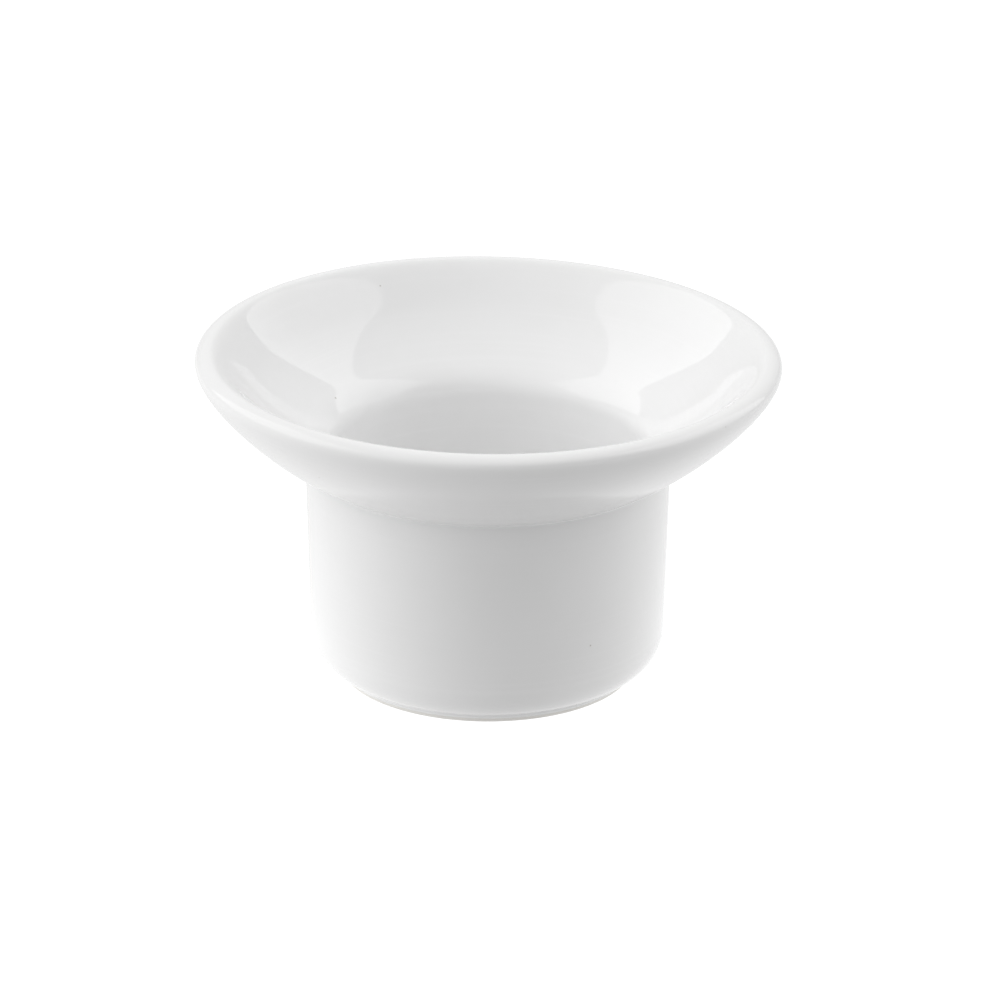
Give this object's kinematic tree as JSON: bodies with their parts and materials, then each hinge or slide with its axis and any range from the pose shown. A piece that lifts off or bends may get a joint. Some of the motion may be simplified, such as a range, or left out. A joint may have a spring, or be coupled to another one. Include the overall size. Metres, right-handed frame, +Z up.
{
  "type": "egg cup",
  "caption": "White glazed porcelain egg cup: a straight round cup on a low foot ring, opening into a broad flared dish with a rolled rim.",
  "frame": {"origin": "centre of the foot ring's bearing face, on the surface that the cup stands on", "axes": "+Z up along the turning axis, out of the well's mouth; the cup is round, so +X and +Y are any two directions square to it"},
  "size_m": [0.085, 0.085, 0.049],
  "materials": {
    "bare_porcelain": "fired and unglazed, fine matt, slightly warm",
    "clear_white_glaze": "smooth high-gloss glaze over white porcelain, neutral white"
  },
  "bodies": {
    "root": {"porcelain_body": "bare_porcelain", "glaze_coat": "clear_white_glaze", "base_glaze": "clear_white_glaze"}
  },
  "joints": []
}
